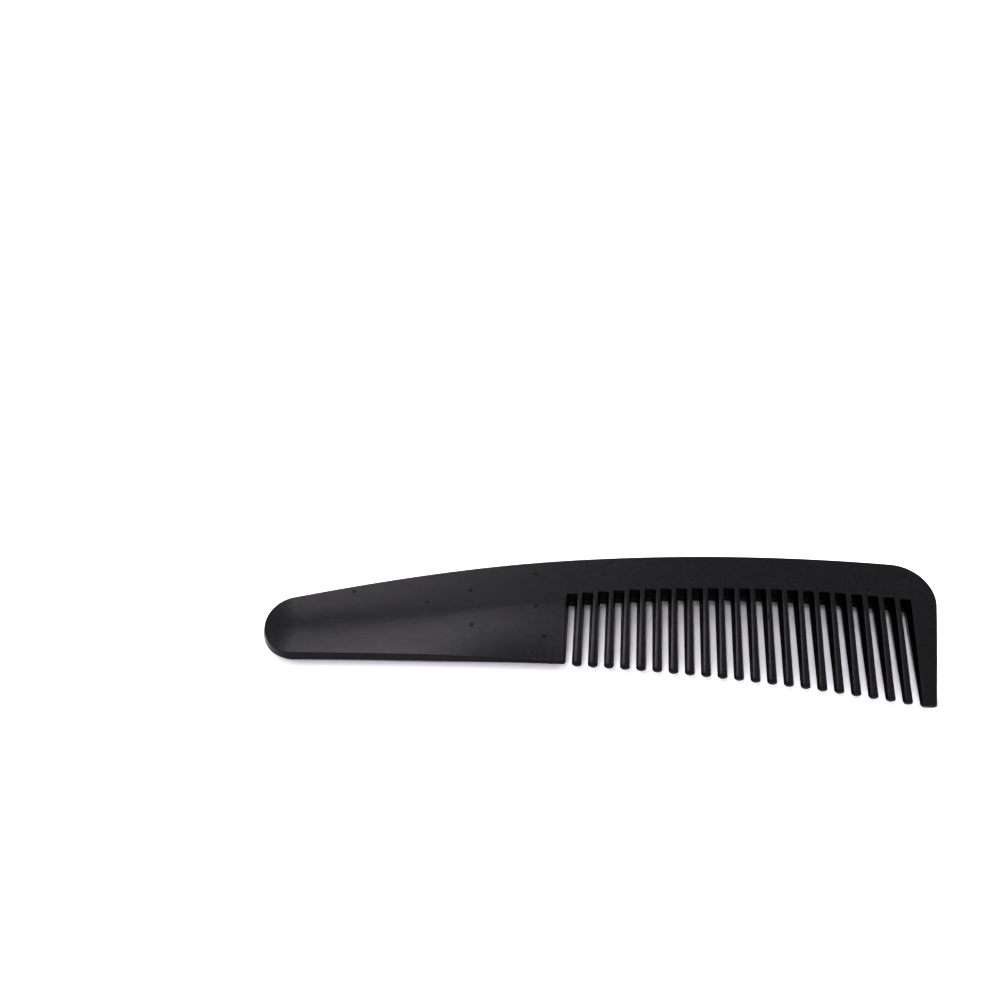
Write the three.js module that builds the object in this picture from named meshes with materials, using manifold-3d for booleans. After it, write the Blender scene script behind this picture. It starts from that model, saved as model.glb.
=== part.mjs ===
// Hair comb with a flat handle: one injection moulding, drawn feature by feature.
//
// Millimetres, +Z up. The comb lies flat, its teeth point to -Y and its nose to +X. It is drawn
// about the mould's parting plane (z = 0), with y = 0 where the tooth roots crest on the faces. The
// finished comb is then moved so that the origin is the middle of its footprint on the table.
//
// Every feature has the same kind of edge: widest on the parting plane and leaning in towards both
// faces, as a moulding needs to leave its mould. The faces of the teeth, and of the handle near
// them, bow outwards between the thick spine and their thin edges.
import * as THREE from 'three';
import Module from 'manifold-3d';

// ---------------------------------------------------------------- driving dimensions
const PITCH = 4.0;               // tooth to tooth
const TOOTH_COUNT = 21;          // slim teeth, between the handle and the wide end tooth
const TOOTH_WIDTH = 2.28;        // on the parting plane
const SPINE_THICKNESS = 6.4;
const TIP_THICKNESS = 1.4;

const BACK_RADIUS = 490;         // the long bowed back edge
const BACK_CREST = new THREE.Vector2(64.5, 9.9);
const ROOT_RADIUS = 364;         // the line along which the gaps end
const ROOT_CREST = new THREE.Vector2(59.6, -0.62);
const TIP_RADIUS = 668;          // the line of the tooth tips
const TIP_CREST = new THREE.Vector2(4, -23.5);

const HANDLE_END_RADIUS = 8.75;
const HANDLE_END_X = -68.45;     // centre of the round end
const HANDLE_HEEL_Y = -23.2;     // handle corner beside the first gap
const HANDLE_FRONT_HOLLOW = 0.3; // how far the front edge draws in halfway along
const HANDLE_HEEL_THICKNESS = 1.5;
const BACK_RIM_THICKNESS = 3.7;    // the handle's back edge where it meets the round end
const FRONT_RIM_THICKNESS = 4.0;   // and its front edge
const HANDLE_END_THICKNESS = 4.9; // at the centre of the round end
const FRONT_FULL_SHARE = 0.56;   // where the front rim reaches its thickness, from the heel

const NOSE_RADIUS = 10.8;
const NOSE_X = 94;               // furthest point of the nose
const END_TOOTH_TIP = new THREE.Vector2(90.75, -28.8); // outer corner of the wide tooth

const ROOT_SHOULDER = 0.62;      // how far a tooth's side leans in at the root
const TIP_SHOULDER = 0.44;       // and at its tip
const EDGE_LEAN = 0.5;           // how far the outer edges lean in
const FRONT_LEAN = 0.9;          // how far the handle's front edge does at the round end
const TIP_ROUND = 0.65;          // tip corners, seen from above
const TIP_BEVEL = 0.35;          // tip corners, seen from the side
const STUB = 0.5;                // length of each tooth that stays with the spine
const FACE_BOW = 0.45;           // bowing of the teeth's faces: 0 is flat, 1 is parabolic
const BOW_SHARE = 0.6;           // share of the handle over which its faces' bowing fades out

// Edge profile: [share of the half thickness, share of the lean].
const PROFILE = [[0, 0], [0.94, 0.78], [1, 1]];

// ---------------------------------------------------------------- derived values
const SPINE_HALF = SPINE_THICKNESS / 2;
const TIP_HALF = TIP_THICKNESS / 2;
const TOOTH_HALF = TOOTH_WIDTH / 2;
const backCentre = new THREE.Vector2(BACK_CREST.x, BACK_CREST.y - BACK_RADIUS);

const arcY = (crest, radius, x) => crest.y - radius + Math.sqrt(radius ** 2 - (x - crest.x) ** 2);
const backY = (x) => arcY(BACK_CREST, BACK_RADIUS, x);
const rootY = (x) => arcY(ROOT_CREST, ROOT_RADIUS, x);
const tipY = (x) => arcY(TIP_CREST, TIP_RADIUS, x);

// How much of its drop from the thick root to the thin edge a face has made at t, from 0 to 1.
const drop = (t, bow) => THREE.MathUtils.lerp(t, t * t, bow);

const toothX = (k) => k * PITCH;
const gapEndY = (k) => rootY((k - 0.5) * PITCH); // gap k lies between tooth k - 1 and tooth k
const LAST_GAP = TOOTH_COUNT + 1;

// A circle of radius r that touches the inside of the back edge, centred at x.
function circleInsideBack(x, r) {
  const y = backCentre.y + Math.sqrt((BACK_RADIUS - r) ** 2 - (x - backCentre.x) ** 2);
  return { centre: new THREE.Vector2(x, y), r };
}

const handleEnd = circleInsideBack(HANDLE_END_X, HANDLE_END_RADIUS);
const nose = circleInsideBack(NOSE_X - NOSE_RADIUS, NOSE_RADIUS);

// Angle on a circle where the straight line from a point touches it (side is +1 or -1).
function touchAngle(circle, point, side) {
  const away = point.clone().sub(circle.centre);
  return away.angle() + side * Math.acos(circle.r / away.length());
}

const onCircle = (circle, a) => new THREE.Vector2(
  circle.centre.x + circle.r * Math.cos(a),
  circle.centre.y + circle.r * Math.sin(a),
);

const HANDLE_X = toothX(0);      // the handle meets the spine on this plane
const heel = new THREE.Vector2(HANDLE_X, HANDLE_HEEL_Y);
const noseTouch = touchAngle(nose, END_TOOTH_TIP, 1);
const noseSide = onCircle(nose, noseTouch);

// Outer side of the wide end tooth: round with the nose at first, then straight to its tip.
function outerX(y) {
  if (y > noseSide.y) return nose.centre.x + Math.sqrt(nose.r ** 2 - (y - nose.centre.y) ** 2);
  const t = (y - noseSide.y) / (END_TOOTH_TIP.y - noseSide.y);
  return THREE.MathUtils.lerp(noseSide.x, END_TOOTH_TIP.x, t);
}

// ---------------------------------------------------------------- solids from rings
// Collects triangles, leaving out those that have shrunk to a line.
class Skin {
  constructor() {
    this.points = [];
  }

  triangle(a, b, c) {
    const area = b.clone().sub(a).cross(c.clone().sub(a)).length();
    if (area > 1e-7) this.points.push(a, b, c);
  }

  strip(from, to, closed) {
    const last = closed ? from.length : from.length - 1;
    for (let i = 0; i < last; i += 1) {
      const j = (i + 1) % from.length;
      this.triangle(from[i], from[j], to[j]);
      this.triangle(from[i], to[j], to[i]);
    }
  }

  fan(ring) {
    for (let i = 1; i + 1 < ring.length; i += 1) this.triangle(ring[0], ring[i], ring[i + 1]);
  }

  // Closes a section that mirrors itself about the parting plane, rung by rung.
  ladder(section, reversed) {
    const last = section.length - 1;
    for (let i = 0; 2 * i < last; i += 1) {
      const [a, b, c, d] = [section[i], section[i + 1], section[last - i - 1], section[last - i]];
      if (reversed) {
        this.triangle(a, c, b);
        this.triangle(a, d, c);
      } else {
        this.triangle(a, b, c);
        this.triangle(a, c, d);
      }
    }
  }

  // A flat polygon of any shape, counter-clockwise when seen from the side it faces.
  plate(ring, facesDown) {
    const flat = ring.map((p) => new THREE.Vector2(p.x, p.y));
    for (const [i, j, k] of THREE.ShapeUtils.triangulateShape(flat, [])) {
      if (facesDown) this.triangle(ring[i], ring[k], ring[j]);
      else this.triangle(ring[i], ring[j], ring[k]);
    }
  }

  geometry() {
    return new THREE.BufferGeometry().setFromPoints(this.points);
  }
}

// The edge profile from the lower face to the upper face, as [height, lean] shares.
const lower = PROFILE.slice(1).reverse().map(([height, lean]) => [-height, lean]);
const FULL_PROFILE = [...lower, ...PROFILE];

// Cross-section of a tooth at y: two leaning sides, half thickness h.
function toothRing(y, left, right, h, leftLean, rightLean) {
  const near = FULL_PROFILE.map(([z, lean]) => new THREE.Vector3(left + lean * leftLean, y, z * h));
  const far = FULL_PROFILE.map(([z, lean]) => new THREE.Vector3(right - lean * rightLean, y, z * h));
  return [...near, ...far.reverse()];
}

// A tooth from its root to a rounded tip. sides(y) gives its left and right x there.
function toothSkin({ rootAt, tipAt, sides, tipHalf, outerLean }) {
  const rings = [];
  const ringAt = (y, inset, bevel) => {
    const t = (rootAt - y) / (rootAt - tipAt);
    const h = THREE.MathUtils.lerp(SPINE_HALF, tipHalf, drop(t, FACE_BOW));
    const lean = THREE.MathUtils.lerp(ROOT_SHOULDER, TIP_SHOULDER, t);
    const [left, right] = sides(y);
    rings.push(toothRing(y, left + inset, right - inset, h - bevel, lean, outerLean ?? lean));
  };
  const lengthSteps = 8;
  for (let i = 0; i < lengthSteps; i += 1) {
    ringAt(THREE.MathUtils.lerp(rootAt, tipAt + TIP_ROUND, i / lengthSteps), 0, 0);
  }
  const roundSteps = 4;
  for (let i = 0; i <= roundSteps; i += 1) {
    const a = (i / roundSteps) * Math.PI / 2;
    const y = tipAt + TIP_ROUND * (1 - Math.sin(a));
    ringAt(y, TIP_ROUND * (1 - Math.cos(a)), TIP_BEVEL * (1 - Math.cos(a)));
  }
  const skin = new Skin();
  skin.fan(rings[0]);
  for (let i = 0; i + 1 < rings.length; i += 1) skin.strip(rings[i + 1], rings[i], true);
  skin.fan([...rings.at(-1)].reverse());
  return skin;
}

// Where tooth k leaves the spine: just below the ends of the gaps on both sides of it.
function junctionY(k) {
  const left = gapEndY(Math.max(k, 1));
  const right = gapEndY(Math.min(k + 1, LAST_GAP));
  return Math.min(left, right) - STUB;
}

function slimTooth(k, tipAt = tipY(toothX(k)), tipHalf = TIP_HALF) {
  const x = toothX(k);
  const sides = () => [x - TOOTH_HALF, x + TOOTH_HALF];
  return toothSkin({ rootAt: junctionY(k), tipAt, sides, tipHalf });
}

function endTooth() {
  return toothSkin({
    rootAt: junctionY(LAST_GAP),
    tipAt: END_TOOTH_TIP.y,
    sides: (y) => [toothX(LAST_GAP) - TOOTH_HALF, outerX(y)],
    tipHalf: TIP_HALF,
    outerLean: EDGE_LEAN,
  });
}

// ---------------------------------------------------------------- spine
// Outline on the parting plane, counter-clockwise; lean is where each point moves on a face.
function spineOutline() {
  const outline = [];
  const add = (x, y, leanX, leanY) => {
    outline.push({ at: new THREE.Vector2(x, y), lean: new THREE.Vector2(leanX, leanY) });
  };
  const s = ROOT_SHOULDER;
  add(HANDLE_X, junctionY(0), 0, 0);
  for (let k = 0; k <= TOOTH_COUNT; k += 1) {
    const left = toothX(k) - TOOTH_HALF;
    const right = toothX(k) + TOOTH_HALF;
    if (k > 0) {
      add(left, gapEndY(k), s, s);
      add(left, junctionY(k), s, 0);
    }
    add(right, junctionY(k), -s, 0);
    add(right, gapEndY(k + 1), -s, s);
  }
  const wideLeft = toothX(LAST_GAP) - TOOTH_HALF;
  const wideRoot = junctionY(LAST_GAP);
  add(wideLeft, gapEndY(LAST_GAP), s, s);
  add(wideLeft, wideRoot, s, 0);
  add(outerX(wideRoot), wideRoot, -EDGE_LEAN, 0);
  const wideTop = Math.asin((wideRoot - nose.centre.y) / nose.r);
  const backTouch = nose.centre.clone().sub(backCentre).angle();
  const noseSteps = 16;
  for (let i = 1; i < noseSteps; i += 1) {
    const a = THREE.MathUtils.lerp(wideTop, backTouch, i / noseSteps);
    const p = onCircle(nose, a);
    add(p.x, p.y, -EDGE_LEAN * Math.cos(a), -EDGE_LEAN * Math.sin(a));
  }
  const handleTouch = new THREE.Vector2(HANDLE_X, backY(HANDLE_X)).sub(backCentre).angle();
  const backSteps = 36;
  for (let i = 0; i < backSteps; i += 1) {
    const a = THREE.MathUtils.lerp(backTouch, handleTouch, i / backSteps);
    const p = onCircle({ centre: backCentre, r: BACK_RADIUS }, a);
    add(p.x, p.y, -EDGE_LEAN * Math.cos(a), -EDGE_LEAN * Math.sin(a));
  }
  add(HANDLE_X, backY(HANDLE_X), 0, -EDGE_LEAN);
  return outline;
}

function spine() {
  const outline = spineOutline();
  const rings = FULL_PROFILE.map(([height, lean]) => outline.map((point) => new THREE.Vector3(
    point.at.x + point.lean.x * lean,
    point.at.y + point.lean.y * lean,
    height * SPINE_HALF,
  )));
  const skin = new Skin();
  skin.plate(rings[0], true);
  for (let i = 0; i + 1 < rings.length; i += 1) skin.strip(rings[i], rings[i + 1], true);
  skin.plate(rings.at(-1), false);
  return skin;
}

// ---------------------------------------------------------------- handle
// Stations round the handle's edge, from the spine along the back, round the end and along the
// front to the heel. Each pairs an edge point with the point of the crease it slopes up to.
function handleStations() {
  const stations = [];
  const creaseFrom = new THREE.Vector2(HANDLE_X, junctionY(0));
  const fade = (t) => THREE.MathUtils.smoothstep(t, 0, 1);
  const add = (at, inward, edgeThickness, t, lean = EDGE_LEAN) => stations.push({
    at,
    inward,
    lean,
    bow: FACE_BOW * (1 - THREE.MathUtils.smoothstep(t, 0, BOW_SHARE)),
    half: edgeThickness / 2,
    crease: creaseFrom.clone().lerp(handleEnd.centre, t),
    creaseHalf: THREE.MathUtils.lerp(SPINE_THICKNESS, HANDLE_END_THICKNESS, fade(t)) / 2,
  });
  const backTouch = handleEnd.centre.clone().sub(backCentre).angle();
  const handleTouch = new THREE.Vector2(HANDLE_X, backY(HANDLE_X)).sub(backCentre).angle();
  const sideSteps = 22;
  for (let i = 0; i < sideSteps; i += 1) {
    const t = i / sideSteps;
    const a = THREE.MathUtils.lerp(handleTouch, backTouch, t);
    const inward = i === 0
      ? new THREE.Vector2(0, -1)
      : new THREE.Vector2(-Math.cos(a), -Math.sin(a));
    const thickness = THREE.MathUtils.lerp(SPINE_THICKNESS, BACK_RIM_THICKNESS, fade(t));
    add(onCircle({ centre: backCentre, r: BACK_RADIUS }, a), inward, thickness, t);
  }
  const frontTouch = touchAngle(handleEnd, heel, -1);
  const endSteps = 22;
  for (let i = 0; i <= endSteps; i += 1) {
    const a = THREE.MathUtils.lerp(backTouch, frontTouch, i / endSteps);
    const inward = new THREE.Vector2(-Math.cos(a), -Math.sin(a));
    const lean = THREE.MathUtils.lerp(EDGE_LEAN, FRONT_LEAN, i / endSteps);
    const thickness = THREE.MathUtils.lerp(BACK_RIM_THICKNESS, FRONT_RIM_THICKNESS, i / endSteps);
    add(onCircle(handleEnd, a), inward, thickness, 1, lean);
  }
  const frontStart = onCircle(handleEnd, frontTouch);
  for (let i = 1; i <= sideSteps; i += 1) {
    const t = 1 - i / sideSteps;
    const grows = THREE.MathUtils.smoothstep(t, 0, FRONT_FULL_SHARE);
    const thickness = THREE.MathUtils.lerp(HANDLE_HEEL_THICKNESS, FRONT_RIM_THICKNESS, grows);
    const inward = i === sideSteps
      ? new THREE.Vector2(0, 1)
      : new THREE.Vector2(-Math.cos(frontTouch), -Math.sin(frontTouch));
    const hollow = HANDLE_FRONT_HOLLOW * 4 * t * (1 - t);
    const at = frontStart.clone().lerp(heel, 1 - t).addScaledVector(inward, hollow);
    add(at, inward, thickness, t, THREE.MathUtils.lerp(EDGE_LEAN, FRONT_LEAN, t));
  }
  return stations;
}

function handleBlade() {
  const faceSteps = 5;
  const sections = handleStations().map(({ at, inward, lean, bow, half, crease, creaseHalf }) => {
    const edge = FULL_PROFILE.map(([height, share]) => new THREE.Vector3(
      at.x + inward.x * share * lean,
      at.y + inward.y * share * lean,
      height * half,
    ));
    const rim = edge.at(-1);
    const above = [];
    for (let i = 1; i <= faceSteps; i += 1) {
      const t = 1 - i / faceSteps;
      above.push(new THREE.Vector3(
        THREE.MathUtils.lerp(crease.x, rim.x, t),
        THREE.MathUtils.lerp(crease.y, rim.y, t),
        THREE.MathUtils.lerp(creaseHalf, half, drop(t, bow)),
      ));
    }
    const below = above.map((p) => new THREE.Vector3(p.x, p.y, -p.z)).reverse();
    return [...below, ...edge, ...above];
  });
  const skin = new Skin();
  for (let i = 0; i + 1 < sections.length; i += 1) skin.strip(sections[i + 1], sections[i], false);
  skin.ladder(sections[0], false);
  skin.ladder(sections.at(-1), true);
  return skin;
}

// ---------------------------------------------------------------- joining
const { Manifold, Mesh } = await Module().then((kernel) => {
  kernel.setup();
  return kernel;
});

function toManifold(skin) {
  const vertProperties = new Float32Array(skin.points.flatMap((p) => [p.x, p.y, p.z]));
  const triVerts = new Uint32Array(skin.points.length).map((_, i) => i);
  const mesh = new Mesh({ numProp: 3, vertProperties, triVerts });
  mesh.merge();
  return new Manifold(mesh);
}

function toGeometry(solid) {
  const { vertProperties, triVerts, numProp } = solid.getMesh();
  const points = Array.from(triVerts, (v) => new THREE.Vector3(
    vertProperties[v * numProp],
    vertProperties[v * numProp + 1],
    vertProperties[v * numProp + 2],
  ));
  return new THREE.BufferGeometry().setFromPoints(points);
}

// The handle's side along the first gap is shaped like the side of a tooth.
function handle() {
  const heelEdge = slimTooth(0, HANDLE_HEEL_Y, HANDLE_HEEL_THICKNESS / 2);
  return toGeometry(Manifold.union([toManifold(handleBlade()), toManifold(heelEdge)]));
}

// ---------------------------------------------------------------- assembly
const comb = new THREE.Group();
comb.name = 'hair_comb';

// From the parting plane to the table, and from the drawing's zero to the middle of the footprint.
const footprint = new THREE.Vector2(
  (NOSE_X + HANDLE_END_X - HANDLE_END_RADIUS) / 2,
  (BACK_CREST.y + END_TOOTH_TIP.y) / 2,
);

function addFeature(name, geometry) {
  geometry.translate(-footprint.x, -footprint.y, SPINE_HALF);
  geometry.computeVertexNormals();
  const plastic = new THREE.MeshStandardMaterial({ color: 0x232226, roughness: 0.5, metalness: 0 });
  const mesh = new THREE.Mesh(geometry, plastic);
  mesh.name = name;
  comb.add(mesh);
}

addFeature('handle', handle());
addFeature('spine', spine().geometry());
for (let k = 1; k <= TOOTH_COUNT; k += 1) {
  addFeature(`tooth_${String(k).padStart(2, '0')}`, slimTooth(k).geometry());
}
addFeature('end_tooth', endTooth().geometry());

export default comb;
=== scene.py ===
import math
from collections import namedtuple

import bmesh
import bpy
from mathutils import Matrix, Vector, geometry


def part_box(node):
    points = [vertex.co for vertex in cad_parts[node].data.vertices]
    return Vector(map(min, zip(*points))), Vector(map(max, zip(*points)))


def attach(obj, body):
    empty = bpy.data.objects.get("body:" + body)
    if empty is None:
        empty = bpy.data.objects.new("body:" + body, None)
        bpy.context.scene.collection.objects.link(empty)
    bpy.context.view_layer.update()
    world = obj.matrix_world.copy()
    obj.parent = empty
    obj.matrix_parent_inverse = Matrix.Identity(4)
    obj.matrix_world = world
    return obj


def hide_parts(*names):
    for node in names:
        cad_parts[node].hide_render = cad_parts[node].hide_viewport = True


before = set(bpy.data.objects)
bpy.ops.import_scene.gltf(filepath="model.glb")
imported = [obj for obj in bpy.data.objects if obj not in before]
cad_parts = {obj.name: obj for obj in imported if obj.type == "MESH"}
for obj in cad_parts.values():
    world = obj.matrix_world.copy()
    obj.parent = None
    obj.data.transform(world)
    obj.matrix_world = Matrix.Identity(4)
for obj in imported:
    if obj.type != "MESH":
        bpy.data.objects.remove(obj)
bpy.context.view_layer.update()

MM = 0.001


# ---------------------------------------------------------------- sizes read from the frame
def box_mm(node):
    low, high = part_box(node)
    return low / MM, high / MM


spine_low, spine_high = box_mm("spine")
handle_low, _ = box_mm("handle")
slim_teeth = sorted(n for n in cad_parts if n.startswith("tooth_"))
tooth_boxes = [box_mm(n) for n in slim_teeth]
end_low, _ = box_mm("end_tooth")

PARTING_Z = (spine_low.z + spine_high.z) / 2
SPINE_HALF = (spine_high.z - spine_low.z) / 2
TOOTH_HALF = (tooth_boxes[0][1].x - tooth_boxes[0][0].x) / 2
TOOTH_X = [(low.x + high.x) / 2 for low, high in tooth_boxes]
PITCH = TOOTH_X[1] - TOOTH_X[0]
HANDLE_X = TOOTH_X[0] - PITCH      # the handle meets the spine on this plane
LAST_GAP = len(slim_teeth) + 1

# ---------------------------------------------------------------- sizes that the boxes don't hold
BACK_RADIUS = 490.0
BACK_CREST = Vector((56.1, spine_high.y))
ROOT_RADIUS = 364.0
ROOT_CREST = Vector((51.2, 8.83))
STUB = 0.5                         # length of each tooth that belongs to the spine
NOSE_RADIUS = 10.8
END_TOOTH_TIP = Vector((82.35, end_low.y))
HANDLE_END_RADIUS = 8.75
HEEL_Y = -13.75                    # handle corner beside the first gap
FRONT_HOLLOW = 0.3                 # how far the front edge draws in halfway along

TIP_HALF = 0.7
HEEL_HALF = 0.75
BACK_RIM_HALF = 1.85
FRONT_RIM_HALF = 2.0
HANDLE_END_HALF = 2.45
FRONT_FULL_SHARE = 0.56            # where the front rim reaches its thickness, from the heel
FACE_BOW = 0.45                    # bowing of the teeth's faces: 0 is flat and 1 parabolic
CREASE_BLEND_NEAR = 0.05           # rounding of the handle's crease at the spine
CREASE_BLEND_FAR = 0.45            # and where it fades out in the round end
BOW_SHARE = 0.6                    # share of the handle over which its bowing fades out

ROOT_SHOULDER = 0.62
TIP_SHOULDER = 0.44
EDGE_LEAN = 0.5
FRONT_LEAN = 0.9                   # at the handle's front edge, where it meets the round end
EDGE_FILLET = 0.2
TOOTH_FILLET = 0.14
GAP_CORNER = 0.12
TIP_ROUND = 0.65
TIP_BEVEL = 0.42
TOOTH_CROWN = 0.08
FLASH = 0.05                       # the witness line that the mould's parting leaves
SUPPORT = 0.15                     # flat margin inside the rounded edge of the spine
FACE_GRID = 0.7                    # spacing of points on the spine's faces

# Shallow round marks of the mould's ejector pins: centre, radius and depth.
EJECTOR_MARKS = [
    (Vector((-43.0, 10.5)), 1.3, 0.05),
    (Vector((4.0, 15.2)), 1.3, 0.05),
    (Vector((50.0, 15.6)), 1.3, 0.05),
]


# ---------------------------------------------------------------- plane geometry
def mix(a, b, t):
    return a + (b - a) * t


def smoothstep(t, low, high):
    t = min(max((t - low) / (high - low), 0.0), 1.0)
    return t * t * (3 - 2 * t)


def drop(t, bow=FACE_BOW):
    """How much of its drop from thick root to thin edge a face has made at t, from 0 to 1."""
    return mix(t, t * t, bow)


def arc_y(crest, radius, x):
    return crest.y - radius + math.sqrt(radius ** 2 - (x - crest.x) ** 2)


def along(angle):
    return Vector((math.cos(angle), math.sin(angle)))


def angle_of(v):
    return math.atan2(v.y, v.x)


Circle = namedtuple("Circle", "centre radius")
back = Circle(BACK_CREST - Vector((0, BACK_RADIUS)), BACK_RADIUS)


def on_circle(circle, angle):
    return circle.centre + circle.radius * along(angle)


def back_angle_at_handle():
    """Angle on the back edge's circle where the handle meets the spine."""
    at = Vector((HANDLE_X, arc_y(BACK_CREST, BACK_RADIUS, HANDLE_X)))
    return angle_of(at - back.centre)


def circle_inside_back(x, radius):
    """A circle that touches the inside of the back edge, centred at x."""
    rise = math.sqrt((BACK_RADIUS - radius) ** 2 - (x - back.centre.x) ** 2)
    return Circle(Vector((x, back.centre.y + rise)), radius)


def touch_angle(circle, point, side):
    """Angle on a circle where the straight line from a point touches it."""
    away = point - circle.centre
    return angle_of(away) + side * math.acos(circle.radius / away.length)


handle_end = circle_inside_back(handle_low.x + HANDLE_END_RADIUS, HANDLE_END_RADIUS)
nose = circle_inside_back(spine_high.x - NOSE_RADIUS, NOSE_RADIUS)
heel = Vector((HANDLE_X, HEEL_Y))
nose_touch = touch_angle(nose, END_TOOTH_TIP, 1)
nose_side = on_circle(nose, nose_touch)


def gap_end_y(k):
    return arc_y(ROOT_CREST, ROOT_RADIUS, HANDLE_X + (k - 0.5) * PITCH)


def junction_y(k):
    """Where tooth k leaves the spine."""
    return min(gap_end_y(max(k, 1)), gap_end_y(min(k + 1, LAST_GAP))) - STUB


def outer_x(y):
    """Outer side of the wide end tooth: round with the nose at first, then straight."""
    if y > nose_side.y:
        return nose.centre.x + math.sqrt(nose.radius ** 2 - (y - nose.centre.y) ** 2)
    return mix(nose_side.x, END_TOOTH_TIP.x, (y - nose_side.y) / (END_TOOTH_TIP.y - nose_side.y))


# ---------------------------------------------------------------- edge profiles
# A profile runs from the parting plane to a face, as (inward, height) pairs.
FACET_STEPS = 4
FILLET_STEPS = 7
FLASH_SHARE = 0.05                 # share of the wall's height that the witness line takes


def eased(t, blend):
    """t from 0 to 1, starting level and straightening out beyond the blend."""
    return (math.hypot(t, blend) - blend) / (math.hypot(1, blend) - blend)


def profile(half, lean, fillet):
    """A straight drafted wall and a small fillet, as the mould's wall is cut."""
    reach = math.hypot(lean, half - fillet)
    draft = math.acos(fillet / reach) - math.atan2(half - fillet, lean)
    fillet_start = Vector((
        lean - fillet * math.cos(draft),
        half - fillet + fillet * math.sin(draft),
    ))
    points = [Vector((-FLASH, 0)), fillet_start * FLASH_SHARE]
    points += [fillet_start * (i / FACET_STEPS) for i in range(1, FACET_STEPS)]
    for i in range(FILLET_STEPS + 1):
        a = mix(draft, math.pi / 2, i / FILLET_STEPS)
        points.append(Vector((
            lean - fillet * math.cos(a),
            half - fillet + fillet * math.sin(a),
        )))
    return points


# ---------------------------------------------------------------- meshes
def relief(point):
    """Depth of the ejector marks at a point of a face: a flat floor and a soft rim."""
    depth = 0.0
    for centre, radius, deepest in EJECTOR_MARKS:
        away = (Vector((point.x, point.y)) - centre).length
        depth += deepest * (1 - smoothstep(away, radius * 0.8, radius))
    return depth


class Shell:
    """A closed skin, gathered face by face in millimetres."""

    def __init__(self):
        self.mesh = bmesh.new()

    def column(self, points):
        return [self.mesh.verts.new(p) for p in points]

    def strip(self, left, right, closed=False):
        count = len(left) if closed else len(left) - 1
        for i in range(count):
            j = (i + 1) % len(left)
            self.mesh.faces.new((left[i], left[j], right[j], right[i]))

    def cap(self, points):
        self.mesh.faces.new([self.mesh.verts.new(p) for p in points])

    def piece(self, name, material):
        merge_distance = 1e-5
        sharp_angle = math.radians(40)
        bm = self.mesh
        bmesh.ops.remove_doubles(bm, verts=bm.verts, dist=merge_distance)
        bmesh.ops.dissolve_degenerate(bm, edges=bm.edges, dist=merge_distance)
        bmesh.ops.recalc_face_normals(bm, faces=bm.faces)
        for face in bm.faces:
            face.smooth = True
        for edge in bm.edges:
            edge.smooth = edge.calc_face_angle(0) < sharp_angle
        bmesh.ops.translate(bm, vec=(0, 0, PARTING_Z), verts=bm.verts)
        bmesh.ops.scale(bm, vec=(MM, MM, MM), verts=bm.verts)
        mesh = bpy.data.meshes.new(name)
        bm.to_mesh(mesh)
        bm.free()
        mesh.materials.append(material)
        piece = bpy.data.objects.new(name, mesh)
        bpy.context.scene.collection.objects.link(piece)
        return piece


def both_faces(upper):
    """A column of points over both halves, from the lower face to the upper one."""
    lower = [Vector((p.x, p.y, -p.z)) for p in reversed(upper[1:])]
    return lower + upper


# ---------------------------------------------------------------- teeth
def tooth_ring(y, left, right, half, lean, outer, crown):
    """Section of a tooth. outer says whether its right side is the comb's outer edge."""
    crown_steps = 6
    near = profile(half, lean, TOOTH_FILLET)
    far = profile(half, EDGE_LEAN, EDGE_FILLET) if outer else near
    upper = [Vector((left + p.x, y, p.y)) for p in near]
    for i in range(1, crown_steps):
        t = i / crown_steps
        x = mix(left + near[-1].x, right - far[-1].x, t)
        upper.append(Vector((x, y, half + crown * math.sin(math.pi * t))))
    upper += [Vector((right - p.x, y, p.y)) for p in reversed(far)]
    lower = [Vector((p.x, p.y, -p.z)) for p in reversed(upper[1:-1])]
    return upper + lower


def tooth(name, k, tip_y, sides, material, outer=False):
    root_y = junction_y(k)
    length_steps = 44
    tip_steps = 8
    crown_grows = 0.15             # share of the length over which the crest rounds out
    stations = [(mix(root_y, tip_y + TIP_ROUND, i / length_steps), 0) for i in range(length_steps)]
    stations += [
        (tip_y + TIP_ROUND * (1 - math.sin(a)), 1 - math.cos(a))
        for a in (i / tip_steps * math.pi / 2 for i in range(tip_steps + 1))
    ]
    rings = []
    for y, rounding in stations:
        t = (root_y - y) / (root_y - tip_y)
        half = mix(SPINE_HALF, TIP_HALF, drop(t)) - TIP_BEVEL * rounding
        lean = mix(ROOT_SHOULDER, TIP_SHOULDER, t)
        left, right = sides(y)
        inset = TIP_ROUND * rounding
        crown = TOOTH_CROWN * smoothstep(t, 0, crown_grows)
        rings.append(tooth_ring(y, left + inset, right - inset, half, lean, outer, crown))
    shell = Shell()
    columns = [shell.column(ring) for ring in rings]
    for near, far in zip(columns, columns[1:]):
        shell.strip(near, far, closed=True)
    shell.cap(rings[0])
    shell.cap(rings[-1])
    return shell.piece(name, material)


# ---------------------------------------------------------------- spine
Edge = namedtuple("Edge", "at inward lean fillet")


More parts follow.
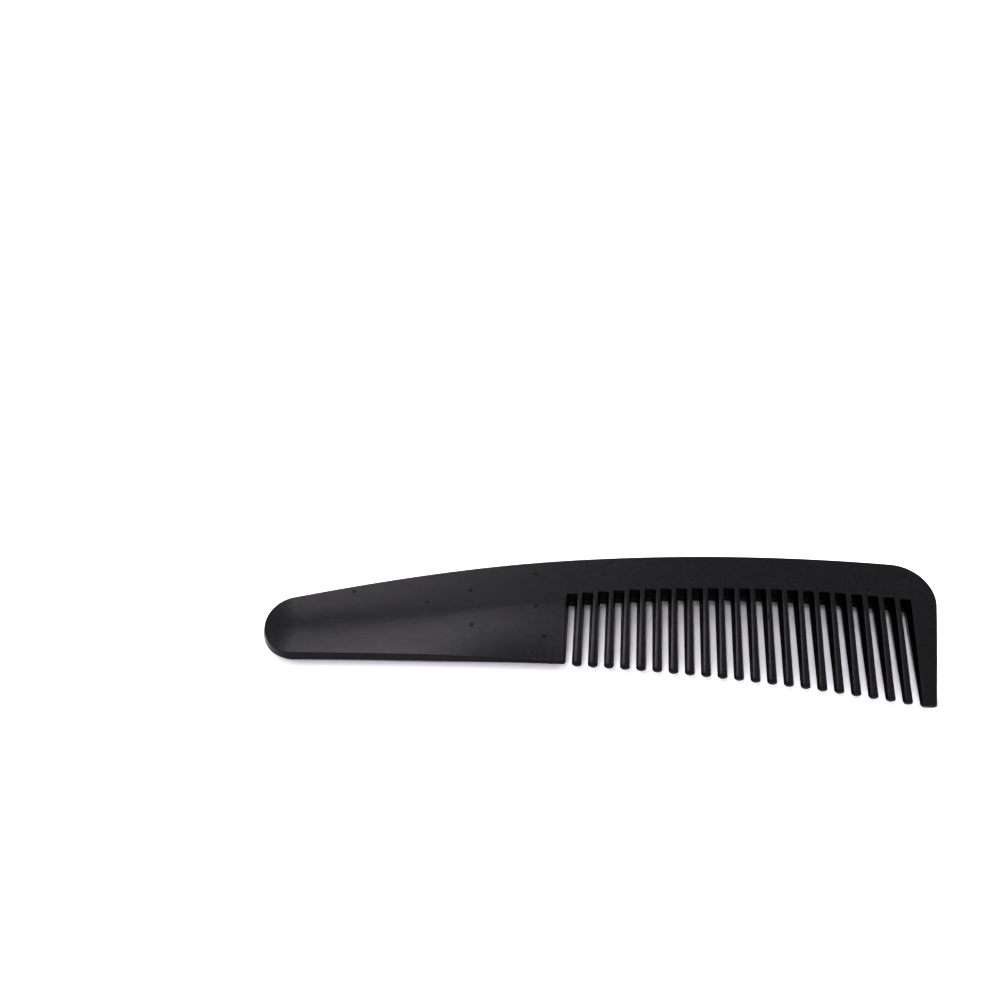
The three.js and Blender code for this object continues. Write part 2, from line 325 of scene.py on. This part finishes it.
def gap_outline(k):
    """The end of gap k, from the tooth on its left to the tooth on its right."""
    left = HANDLE_X + (k - 1) * PITCH + TOOTH_HALF
    right = HANDLE_X + k * PITCH - TOOTH_HALF
    end = gap_end_y(k)
    corner_steps = 4
    points = [Edge(Vector((left, junction_y(k - 1))), Vector((-1, 0)), ROOT_SHOULDER, TOOTH_FILLET)]
    for x, first in ((left + GAP_CORNER, math.pi), (right - GAP_CORNER, math.pi / 2)):
        centre = Vector((x, end - GAP_CORNER))
        for i in range(corner_steps + 1):
            out = along(first - i / corner_steps * math.pi / 2)
            square = out / max(abs(out.x), abs(out.y))
            points.append(Edge(centre + GAP_CORNER * out, square, ROOT_SHOULDER, TOOTH_FILLET))
    points.append(Edge(Vector((right, junction_y(k))), Vector((1, 0)), ROOT_SHOULDER, TOOTH_FILLET))
    return points


def spine_outline():
    """Counter-clockwise on the parting plane, seen from above."""
    outline = [Edge(Vector((HANDLE_X, junction_y(0))), Vector((0, 0)), 0, TOOTH_FILLET)]
    for k in range(1, LAST_GAP + 1):
        outline += gap_outline(k)
    wide_root = junction_y(LAST_GAP)
    wide_side = Vector((outer_x(wide_root), wide_root))
    outline.append(Edge(wide_side, Vector((-1, 0)), EDGE_LEAN, EDGE_FILLET))
    wide_top = math.asin((wide_root - nose.centre.y) / nose.radius)
    back_touch = angle_of(nose.centre - back.centre)
    handle_touch = back_angle_at_handle()
    nose_steps = 40
    back_steps = 150
    runs = (
        (nose, wide_top, back_touch, nose_steps),
        (back, back_touch, handle_touch, back_steps),
    )
    for circle, first, last, steps in runs:
        for i in range(1, steps + 1):
            a = mix(first, last, i / steps)
            outline.append(Edge(on_circle(circle, a), -along(a), EDGE_LEAN, EDGE_FILLET))
    outline[-1] = Edge(on_circle(back, handle_touch), Vector((0, -1)), EDGE_LEAN, EDGE_FILLET)
    return outline


def inside_spine_face(x, y):
    """Whether a point is well inside the flat face, clear of its rounded edges."""
    clear = EDGE_LEAN + SUPPORT + FACE_GRID / 2
    root = arc_y(ROOT_CREST, ROOT_RADIUS, x) + ROOT_SHOULDER + SUPPORT + FACE_GRID / 2
    point = Vector((x, y))
    if x < HANDLE_X + FACE_GRID / 2 or y < root:
        return False
    if (point - back.centre).length > BACK_RADIUS - clear:
        return False
    if x > nose.centre.x:
        return (point - nose.centre).length < NOSE_RADIUS - clear
    return True


def face_triangles(rim):
    """Triangles that fill the flat face inside its rim, with points inside it for the relief."""
    columns = int((spine_high.x - HANDLE_X) / FACE_GRID) + 1
    rows = int((spine_high.y - spine_low.y) / FACE_GRID) + 1
    inner = []
    for i in range(columns):
        for j in range(rows):
            x = HANDLE_X + i * FACE_GRID + (j % 2) * FACE_GRID / 2
            y = spine_low.y + j * FACE_GRID
            if inside_spine_face(x, y):
                inner.append(Vector((x, y)))
    loop = [(i, (i + 1) % len(rim)) for i in range(len(rim))]
    inside_only = 1
    tolerance = 1e-6
    made = geometry.delaunay_2d_cdt(rim + inner, loop, [], inside_only, tolerance)
    return made[0], made[2]


def spine(material):
    outline = spine_outline()
    shell = Shell()
    columns = []
    rim = []
    for edge in outline:
        points = profile(SPINE_HALF, edge.lean, edge.fillet)
        flat = [edge.at + edge.inward * p.x for p in points]
        upper = [Vector((at.x, at.y, p.y)) for at, p in zip(flat, points)]
        inner = edge.at + edge.inward * (edge.lean + SUPPORT)
        upper.append(Vector((inner.x, inner.y, SPINE_HALF)))
        columns.append(shell.column(both_faces(upper)))
        rim.append(inner)
    for near, far in zip(columns, columns[1:] + columns[:1]):
        shell.strip(near, far)
    points, triangles = face_triangles(rim)
    for side in (1, -1):
        depth = [relief(p) if side > 0 else 0 for p in points]
        heights = [side * (SPINE_HALF - d) for d in depth]
        face = shell.column([Vector((p.x, p.y, z)) for p, z in zip(points, heights)])
        for triangle in triangles:
            shell.mesh.faces.new([face[i] for i in triangle])
    return shell.piece("spine_moulding", material)


# ---------------------------------------------------------------- handle
# A station pairs a point of the handle's edge with the crease point that its face rises to.
Station = namedtuple("Station", "at inward half lean fillet crease crease_half bow blend")


def handle_stations():
    stations = []
    start = Vector((HANDLE_X, junction_y(0)))

    def add(at, inward, half, t, lean=EDGE_LEAN, fillet=EDGE_FILLET):
        fade = smoothstep(t, 0, 1)
        crease_half = mix(SPINE_HALF, HANDLE_END_HALF, fade)
        crease = start.lerp(handle_end.centre, t)
        bow = FACE_BOW * (1 - smoothstep(t, 0, BOW_SHARE))
        blend = mix(CREASE_BLEND_NEAR, CREASE_BLEND_FAR, fade)
        stations.append(Station(at, inward, half, lean, fillet, crease, crease_half, bow, blend))

    side_steps = 170
    end_steps = 60
    back_touch = angle_of(handle_end.centre - back.centre)
    handle_touch = back_angle_at_handle()
    for i in range(side_steps):
        t = i / side_steps
        a = mix(handle_touch, back_touch, t)
        inward = -along(a) if i else Vector((0, -1))
        add(on_circle(back, a), inward, mix(SPINE_HALF, BACK_RIM_HALF, smoothstep(t, 0, 1)), t)
    front_touch = touch_angle(handle_end, heel, -1) + 2 * math.pi
    for i in range(end_steps + 1):
        a = mix(back_touch, front_touch, i / end_steps)
        lean = mix(EDGE_LEAN, FRONT_LEAN, i / end_steps)
        half = mix(BACK_RIM_HALF, FRONT_RIM_HALF, i / end_steps)
        add(on_circle(handle_end, a), -along(a), half, 1, lean)
    front_start = on_circle(handle_end, front_touch)
    for i in range(1, side_steps + 1):
        t = 1 - i / side_steps
        inward = -along(front_touch)
        at = front_start.lerp(heel, 1 - t) + inward * FRONT_HOLLOW * 4 * t * (1 - t)
        half = mix(HEEL_HALF, FRONT_RIM_HALF, smoothstep(t, 0, FRONT_FULL_SHARE))
        add(at, inward, half, t, mix(EDGE_LEAN, FRONT_LEAN, t))

    # Round the heel and up the side of the first gap.
    corner = heel + Vector((TOOTH_HALF - TIP_ROUND, TIP_ROUND))
    corner_steps = 10
    for i in range(corner_steps + 1):
        share = i / corner_steps
        a = mix(-math.pi / 2, 0, share)
        add(corner + TIP_ROUND * along(a), -along(a), HEEL_HALF, 0,
            mix(EDGE_LEAN, TIP_SHOULDER, share), mix(EDGE_FILLET, TOOTH_FILLET, share))
    gap_steps = 40
    for i in range(1, gap_steps + 1):
        share = i / gap_steps
        y = mix(corner.y, junction_y(0), share)
        half = mix(SPINE_HALF, HEEL_HALF, drop(1 - share))
        lean = mix(TIP_SHOULDER, ROOT_SHOULDER, share)
        add(Vector((corner.x + TIP_ROUND, y)), Vector((-1, 0)), half, 0, lean, TOOTH_FILLET)
    return stations


def handle(material):
    radial_steps = 40
    shell = Shell()
    sections = []
    for s in handle_stations():
        reach = (s.crease - s.at).length
        towards = (s.crease - s.at) / reach

        def face_height(u, s=s, reach=reach):
            rise = s.crease_half - s.half
            below = 1 - max(u - s.lean, 0) / (reach - s.lean)
            return rise * (1 - drop(eased(below, s.blend), s.bow))

        upper = []
        for p in profile(s.half, s.lean, s.fillet):
            at = s.at + s.inward * p.x
            upper.append(Vector((at.x, at.y, p.y + face_height(p.x))))
        for i in range(1, radial_steps + 1):
            u = mix(s.lean, reach, i / radial_steps)
            # The wall leans along the edge's normal; the face runs on straight to the crease.
            bend = 1 - i / radial_steps
            at = s.at + towards * u + (s.inward - towards) * s.lean * bend
            upper.append(Vector((at.x, at.y, s.half + face_height(u))))
        section = both_faces(upper)
        for point in section:
            if point.z > HEEL_HALF / 2:
                point.z -= relief(point)
        sections.append(section)
    columns = [shell.column(section) for section in sections]
    for near, far in zip(columns, columns[1:]):
        shell.strip(near, far)
    shell.cap(sections[0])
    shell.cap(sections[-1])
    return shell.piece("handle_moulding", material)


# ---------------------------------------------------------------- material
def node(tree, kind, **inputs):
    made = tree.nodes.new(kind)
    for name, value in inputs.items():
        made.inputs[name.replace("_", " ")].default_value = value
    return made


def ramp(tree, source, stops):
    """A colour ramp over a source, from (position, grey or colour) stops."""
    made = tree.nodes.new("ShaderNodeValToRGB")
    elements = made.color_ramp.elements
    while len(elements) < len(stops):
        elements.new(0.5)
    for element, (position, colour) in zip(elements, stops):
        element.position = position
        element.color = (*colour, 1)
    tree.links.new(source, made.inputs["Fac"])
    return made.outputs["Color"]


def grey(value):
    return (value, value, value)


def maximum(tree, a, b):
    made = tree.nodes.new("ShaderNodeMath")
    made.operation = "MAXIMUM"
    tree.links.new(a, made.inputs[0])
    tree.links.new(b, made.inputs[1])
    return made.outputs[0]


# The plastic's patterns, in cells or waves per metre.
GRAIN_SCALE = 2400
BLOTCH_SCALE = 420
DUST_SCALE = 430
PIT_SCALE = 105


def black_plastic():
    """Matte black moulded plastic: finely grained, faintly blotched, lightly pitted and dusty."""
    material = bpy.data.materials.new("black_plastic")
    material.use_nodes = True
    tree = material.node_tree
    shader = tree.nodes["Principled BSDF"]
    shader.inputs["IOR"].default_value = 1.5
    shader.inputs["Specular IOR Level"].default_value = 0.3
    place = tree.nodes.new("ShaderNodeTexCoord").outputs["Object"]

    def noise(scale, detail, roughness=0.5):
        made = node(tree, "ShaderNodeTexNoise", Scale=scale, Detail=detail, Roughness=roughness)
        tree.links.new(place, made.inputs["Vector"])
        return made.outputs["Fac"]

    grain = noise(GRAIN_SCALE, 3, 0.7)
    blotches = noise(BLOTCH_SCALE, 5, 0.65)

    base = ramp(tree, grain, [(0.4, (0, 0, 0)), (0.62, (0.0082, 0.0077, 0.009))])
    specks = node(tree, "ShaderNodeTexVoronoi", Scale=DUST_SCALE)
    tree.links.new(place, specks.inputs["Vector"])
    dust = ramp(tree, specks.outputs["Distance"], [(0.035, grey(1)), (0.06, grey(0))])
    rare = ramp(tree, specks.outputs["Color"], [(0.82, grey(0)), (0.86, grey(1))])
    dusty = tree.nodes.new("ShaderNodeMath")
    dusty.operation = "MULTIPLY"
    tree.links.new(dust, dusty.inputs[0])
    tree.links.new(rare, dusty.inputs[1])
    colour = tree.nodes.new("ShaderNodeMix")
    colour.data_type = "RGBA"
    tree.links.new(dusty.outputs[0], colour.inputs["Factor"])
    tree.links.new(base, colour.inputs["A"])
    colour.inputs["B"].default_value = (0.06, 0.058, 0.057, 1)
    tree.links.new(colour.outputs["Result"], shader.inputs["Base Color"])

    rough = ramp(tree, blotches, [(0.3, grey(0.25)), (0.7, grey(0.275))])
    tree.links.new(rough, shader.inputs["Roughness"])

    holes = node(tree, "ShaderNodeTexVoronoi", Scale=PIT_SCALE)
    holes.voronoi_dimensions = "2D"
    tree.links.new(place, holes.inputs["Vector"])
    hole = ramp(tree, holes.outputs["Distance"], [(0.02, grey(0)), (0.055, grey(1))])
    unbroken = ramp(tree, holes.outputs["Color"], [(0.45, grey(0)), (0.5, grey(1))])
    normal = tree.nodes.new("ShaderNodeSeparateXYZ")
    tree.links.new(tree.nodes.new("ShaderNodeNewGeometry").outputs["Normal"], normal.inputs[0])
    # Pits are left out of the walls, where the flat pattern would draw them out into streaks.
    wall = ramp(tree, normal.outputs["Z"], [(0.7, grey(1)), (0.9, grey(0))])
    whole = maximum(tree, hole, unbroken)
    pitted = maximum(tree, whole, wall)

    fine = node(tree, "ShaderNodeBump", Strength=0.6, Distance=0.00005)
    tree.links.new(grain, fine.inputs["Height"])
    broad = node(tree, "ShaderNodeBump", Strength=0.2, Distance=0.0001)
    tree.links.new(blotches, broad.inputs["Height"])
    tree.links.new(fine.outputs["Normal"], broad.inputs["Normal"])
    pits = node(tree, "ShaderNodeBump", Strength=1, Distance=0.0003)
    tree.links.new(pitted, pits.inputs["Height"])
    tree.links.new(broad.outputs["Normal"], pits.inputs["Normal"])
    tree.links.new(pits.outputs["Normal"], shader.inputs["Normal"])
    return material


# ---------------------------------------------------------------- the comb
plastic = black_plastic()


def stand_for(piece, cad_node):
    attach(piece, "root")
    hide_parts(cad_node)


stand_for(handle(plastic), "handle")
stand_for(spine(plastic), "spine")
for k, (cad_node, (low, high)) in enumerate(zip(slim_teeth, tooth_boxes), start=1):
    limits = (low.x, high.x)
    slim = tooth(f"{cad_node}_moulding", k, low.y, lambda y, limits=limits: limits, plastic)
    stand_for(slim, cad_node)


def end_sides(y):
    return end_low.x, outer_x(y)


stand_for(tooth("end_tooth_moulding", LAST_GAP, end_low.y, end_sides, plastic, True), "end_tooth")


# ---------------------------------------------------------------- stage, light and camera
def floor():
    """A pale round table top that curves up into a low rim far from the comb."""
    flat_radius = 1.6
    bend_radius = 0.7
    bend_steps = 12
    bend_angle = math.radians(75)
    around = 96
    rim = [(0.05, 0), (0.6, 0), (flat_radius, 0)]
    for i in range(1, bend_steps + 1):
        a = bend_angle * i / bend_steps
        rim.append((flat_radius + bend_radius * math.sin(a), bend_radius * (1 - math.cos(a))))
    bm = bmesh.new()
    rings = [
        [bm.verts.new((r * math.cos(a), r * math.sin(a), z))
         for a in (2 * math.pi * i / around for i in range(around))]
        for r, z in rim
    ]
    bm.faces.new(rings[0])
    for inner, outer in zip(rings, rings[1:]):
        for i in range(around):
            j = (i + 1) % around
            bm.faces.new((inner[i], outer[i], outer[j], inner[j]))
    for face in bm.faces:
        face.smooth = True
    mesh = bpy.data.meshes.new("floor")
    bm.to_mesh(mesh)
    bm.free()
    white = bpy.data.materials.new("white_table")
    white.use_nodes = True
    shader = white.node_tree.nodes["Principled BSDF"]
    shader.inputs["Base Color"].default_value = (0.9, 0.895, 0.91, 1)
    shader.inputs["Roughness"].default_value = 0.8
    mesh.materials.append(white)
    table = bpy.data.objects.new("floor", mesh)
    bpy.context.scene.collection.objects.link(table)


# Light colour, and the view that the comb is seen from.
STUDIO_WHITE = (0.985, 0.96, 1.0)
TENT_STRENGTH = 1.15
CAMERA_PLACE = Vector((-3.03, -131.55, 240.1))
CAMERA_TARGET = Vector((-27.35, 32.95, spine_high.z))
CAMERA_ROLL = -4.19                # degrees
CAMERA_LENS = 37.44
SENSOR_WIDTH = 36


def softbox(name, leftward, elevation, distance, size, watts):
    """A rectangular light aimed at the comb. leftward is its angle in degrees from +Y to -X."""
    around = math.radians(leftward)
    up = math.radians(elevation)
    data = bpy.data.lights.new(name, "AREA")
    data.shape = "RECTANGLE"
    data.size, data.size_y = size
    data.energy = watts
    data.color = STUDIO_WHITE
    light = bpy.data.objects.new(name, data)
    light.location = distance * Vector((
        -math.sin(around) * math.cos(up),
        math.cos(around) * math.cos(up),
        math.sin(up),
    ))
    light.rotation_euler = (-light.location).to_track_quat("-Z", "Y").to_euler()
    bpy.context.scene.collection.objects.link(light)


def tent(strength):
    world = bpy.data.worlds.new("white_tent")
    world.use_nodes = True
    background = world.node_tree.nodes["Background"]
    background.inputs["Color"].default_value = (*STUDIO_WHITE, 1)
    background.inputs["Strength"].default_value = strength
    bpy.context.scene.world = world


def camera():
    """Above the front of the comb and a little to its right, rolled slightly."""
    place = CAMERA_PLACE * MM
    target = CAMERA_TARGET * MM
    roll = math.radians(CAMERA_ROLL)
    data = bpy.data.cameras.new("camera")
    data.sensor_width = SENSOR_WIDTH
    data.lens = CAMERA_LENS
    data.clip_start = 0.01
    data.clip_end = 50
    eye = bpy.data.objects.new("camera", data)
    turn = (target - place).to_track_quat("-Z", "Y").to_matrix().to_4x4()
    eye.matrix_world = Matrix.Translation(place) @ turn @ Matrix.Rotation(roll, 4, "Z")
    bpy.context.scene.collection.objects.link(eye)
    bpy.context.scene.camera = eye


floor()
tent(TENT_STRENGTH)
softbox("overhead_softbox", leftward=44, elevation=73, distance=2.5, size=(0.5, 0.5), watts=8.8)
softbox("back_softbox", leftward=14, elevation=41, distance=2.2, size=(0.77, 0.66), watts=10.5)
camera()
bpy.context.scene.view_settings.view_transform = "Standard"
bpy.context.scene.view_settings.look = "Very High Contrast"
